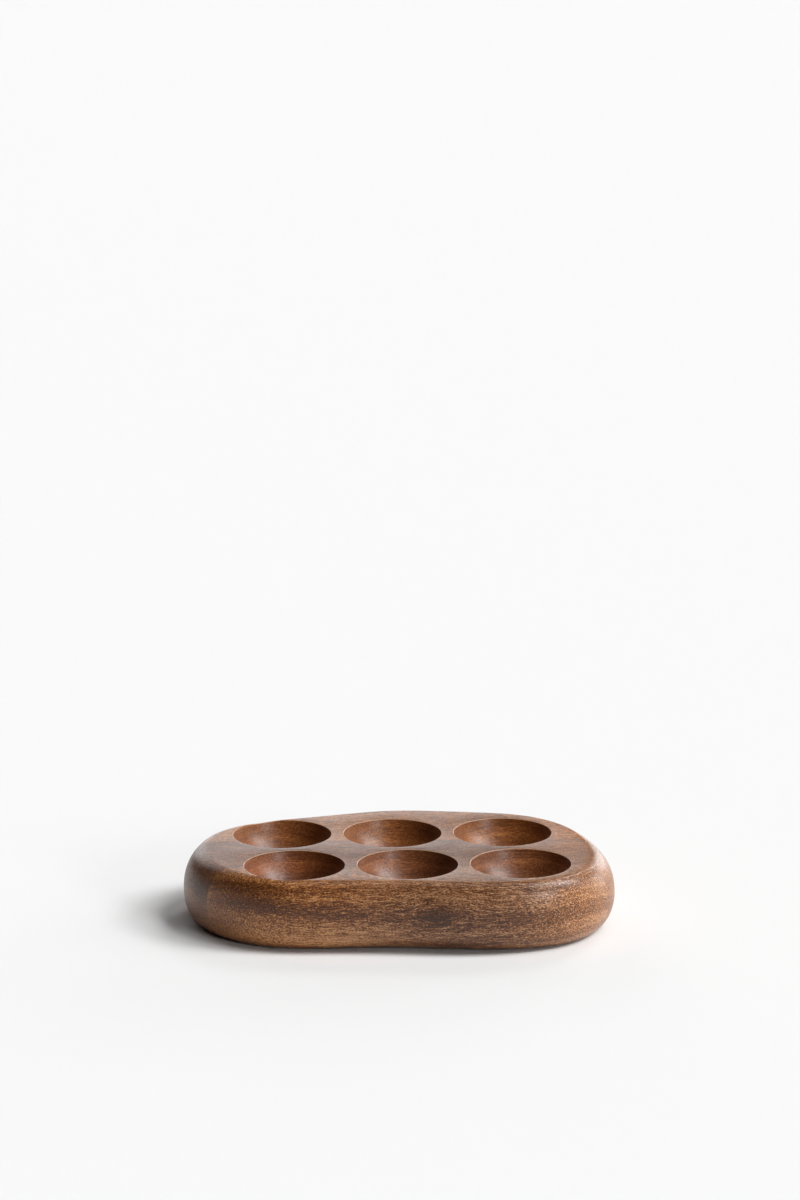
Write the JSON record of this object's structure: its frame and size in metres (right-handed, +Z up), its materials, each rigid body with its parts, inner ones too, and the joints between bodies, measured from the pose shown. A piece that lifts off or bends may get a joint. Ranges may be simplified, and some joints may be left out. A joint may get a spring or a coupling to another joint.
{
  "type": "egg holder tray",
  "caption": "Rounded oblong wooden tray, thick and smooth-edged, with staggered rows of round bowl-shaped wells that hold eggs upright.",
  "frame": {"origin": "middle of the footprint's bounding box, on the surface that the tray stands on", "axes": "+X along the tray's length to the right, +Y to its back, +Z up"},
  "size_m": [0.212, 0.1374, 0.0355],
  "materials": {
    "back_wood": "satin oil, dark brown with a warm orange cast",
    "middle_wood": "satin oil, dark brown",
    "front_wood": "satin oil, golden brown with dark figure"
  },
  "bodies": {
    "root": {"back_stave": "back_wood", "middle_stave": "middle_wood", "front_stave": "front_wood"}
  },
  "joints": []
}
